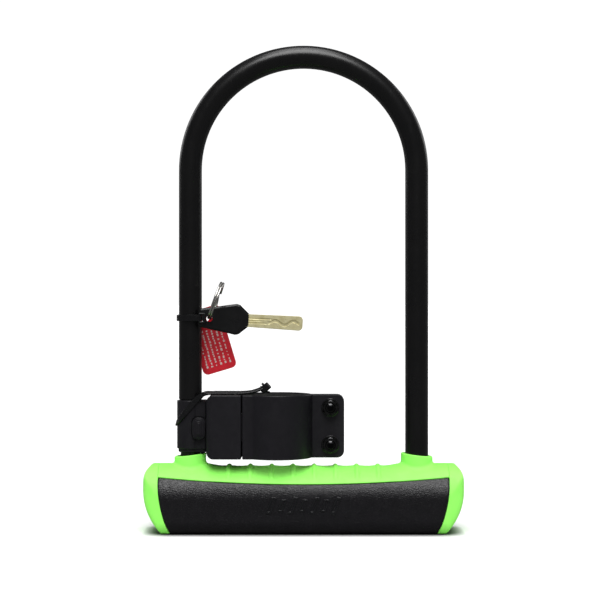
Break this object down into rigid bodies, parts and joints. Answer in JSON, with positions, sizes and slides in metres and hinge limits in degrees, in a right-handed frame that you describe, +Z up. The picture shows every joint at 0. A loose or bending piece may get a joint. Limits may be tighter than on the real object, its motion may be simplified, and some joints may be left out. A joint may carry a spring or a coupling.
{
  "type": "u-lock",
  "caption": "Bicycle U-lock: vinyl-coated steel shackle in a green and black crossbar with twin deadbolts, frame bracket with ring clamp, key, key ring and tag.",
  "frame": {"origin": "middle of the crossbar's underside, on the surface that the lock stands on", "axes": "+X along the crossbar to the right, +Z up the shackle, -Y is the front with the bracket's nuts"},
  "size_m": [0.1798, 0.04, 0.2745],
  "materials": {
    "hardened_steel": "dark satin",
    "green_cover": "satin",
    "black_grained_panel": "leather grain",
    "grey_plastic": "matte",
    "natural_nylon": "matte",
    "zinc": "cast",
    "black_plastic": "satin",
    "plated_steel": "zinc plated",
    "core_brass": "satin",
    "black_vinyl": "satin",
    "bracket_plastic": "fine texture",
    "liner_rubber": "matte",
    "black_nylon": "satin",
    "bow_plastic": "satin",
    "key_nickel": "satin",
    "nickel_wire": "polished",
    "tag_red": "satin",
    "tag_white": "print"
  },
  "bodies": {
    "crossbar": {"crossbar_tube": "hardened_steel", "cover": "green_cover", "front_panel": "black_grained_panel", "rear_panel": "black_grained_panel", "left_bumper": "green_cover", "right_bumper": "green_cover", "left_end_plug": "grey_plastic", "right_end_plug": "grey_plastic", "left_shackle_bush": "natural_nylon", "right_shackle_bush": "natural_nylon", "left_bolt_guide": "zinc", "right_bolt_guide": "zinc", "cylinder_body": "zinc", "keyhole_bezel": "black_plastic", "lock_pins": "plated_steel"},
    "lock_core": {"cylinder_core": "core_brass", "core_wafers": "core_brass", "core_clip": "plated_steel", "drive_cam": "zinc"},
    "left_bolt": {"left_bolt": "hardened_steel"},
    "right_bolt": {"right_bolt": "hardened_steel"},
    "dust_cover": {"dust_cover": "black_plastic"},
    "shackle": {"shackle_bar": "hardened_steel", "shackle_sleeve": "black_vinyl", "key_tie": "black_nylon"},
    "bracket": {"mount_sleeve": "bracket_plastic", "bracket_body": "bracket_plastic", "clamp_hinge_pin": "plated_steel", "liner_rear": "liner_rubber", "clamp_bolts": "plated_steel", "button_spring": "plated_steel", "bracket_tie": "black_nylon"},
    "clamp_front": {"clamp_front": "bracket_plastic", "liner_front": "liner_rubber"},
    "clamp_nuts": {"clamp_nuts": "plated_steel", "clamp_washers": "plated_steel"},
    "release_button": {"release_button": "bracket_plastic"},
    "key": {"key_bow": "bow_plastic", "key_blade": "key_nickel"},
    "key_ring": {"key_ring": "nickel_wire"},
    "key_tag": {"key_tag": "tag_red", "key_tag_print": "tag_white"}
  },
  "joints": [
    {"name": "shackle_slide", "type": "slide", "parent": "crossbar", "child": "shackle", "axis": [0, 0, 1], "range_m": [0, 0.06]},
    {"name": "core_turn", "type": "hinge", "parent": "crossbar", "child": "lock_core", "pos_m": [0, 0, 0.012], "axis": [0, 0, 1], "range_deg": [0, 90]},
    {"name": "left_bolt_slide", "type": "slide", "parent": "crossbar", "child": "left_bolt", "axis": [-1, 0, 0], "range_m": [0, 0.0065]},
    {"name": "right_bolt_slide", "type": "slide", "parent": "crossbar", "child": "right_bolt", "axis": [1, 0, 0], "range_m": [0, 0.0065]},
    {"name": "dust_cover_slide", "type": "slide", "parent": "crossbar", "child": "dust_cover", "axis": [1, 0, 0], "range_m": [0, 0.0155]},
    {"name": "bracket_swivel", "type": "hinge", "parent": "shackle", "child": "bracket", "pos_m": [-0.064, 0, 0.0595], "axis": [0, 0, 1], "continuous": true},
    {"name": "clamp_open", "type": "hinge", "parent": "bracket", "child": "clamp_front", "pos_m": [-0.0376, -0.0096, 0.05955], "axis": [0, 0, -1], "range_deg": [0, 2.4]},
    {"name": "clamp_nut_travel", "type": "slide", "parent": "bracket", "child": "clamp_nuts", "axis": [0, -1, 0], "range_m": [0, 0.00257]},
    {"name": "button_press", "type": "slide", "parent": "bracket", "child": "release_button", "axis": [0, 1, 0], "range_m": [0, 0.0015], "stiffness_N_per_m": 1200, "springref_m": -0.001, "deforming": ["button_spring"]},
    {"name": "key_swing", "type": "hinge", "parent": "shackle", "child": "key", "pos_m": [-0.0563, -0.0062, 0.1205], "axis": [0, 1, 0], "range_deg": [-8, 4]},
    {"name": "ring_swing", "type": "hinge", "parent": "key", "child": "key_ring", "pos_m": [-0.0529, -0.0062, 0.1202], "axis": [0, 1, 0], "range_deg": [-22, 30]},
    {"name": "tag_swing", "type": "hinge", "parent": "shackle", "child": "key_tag", "pos_m": [-0.0563, 0.0072, 0.1205], "axis": [0, 1, 0], "range_deg": [-50, 20]}
  ],
  "couplings": [
    {"joint": "core_turn", "follows": "left_bolt_slide", "rad_per_m": 241.66},
    {"joint": "right_bolt_slide", "follows": "left_bolt_slide", "ratio": 1},
    {"joint": "clamp_open", "follows": "clamp_nut_travel", "rad_per_m": 16.26}
  ]
}
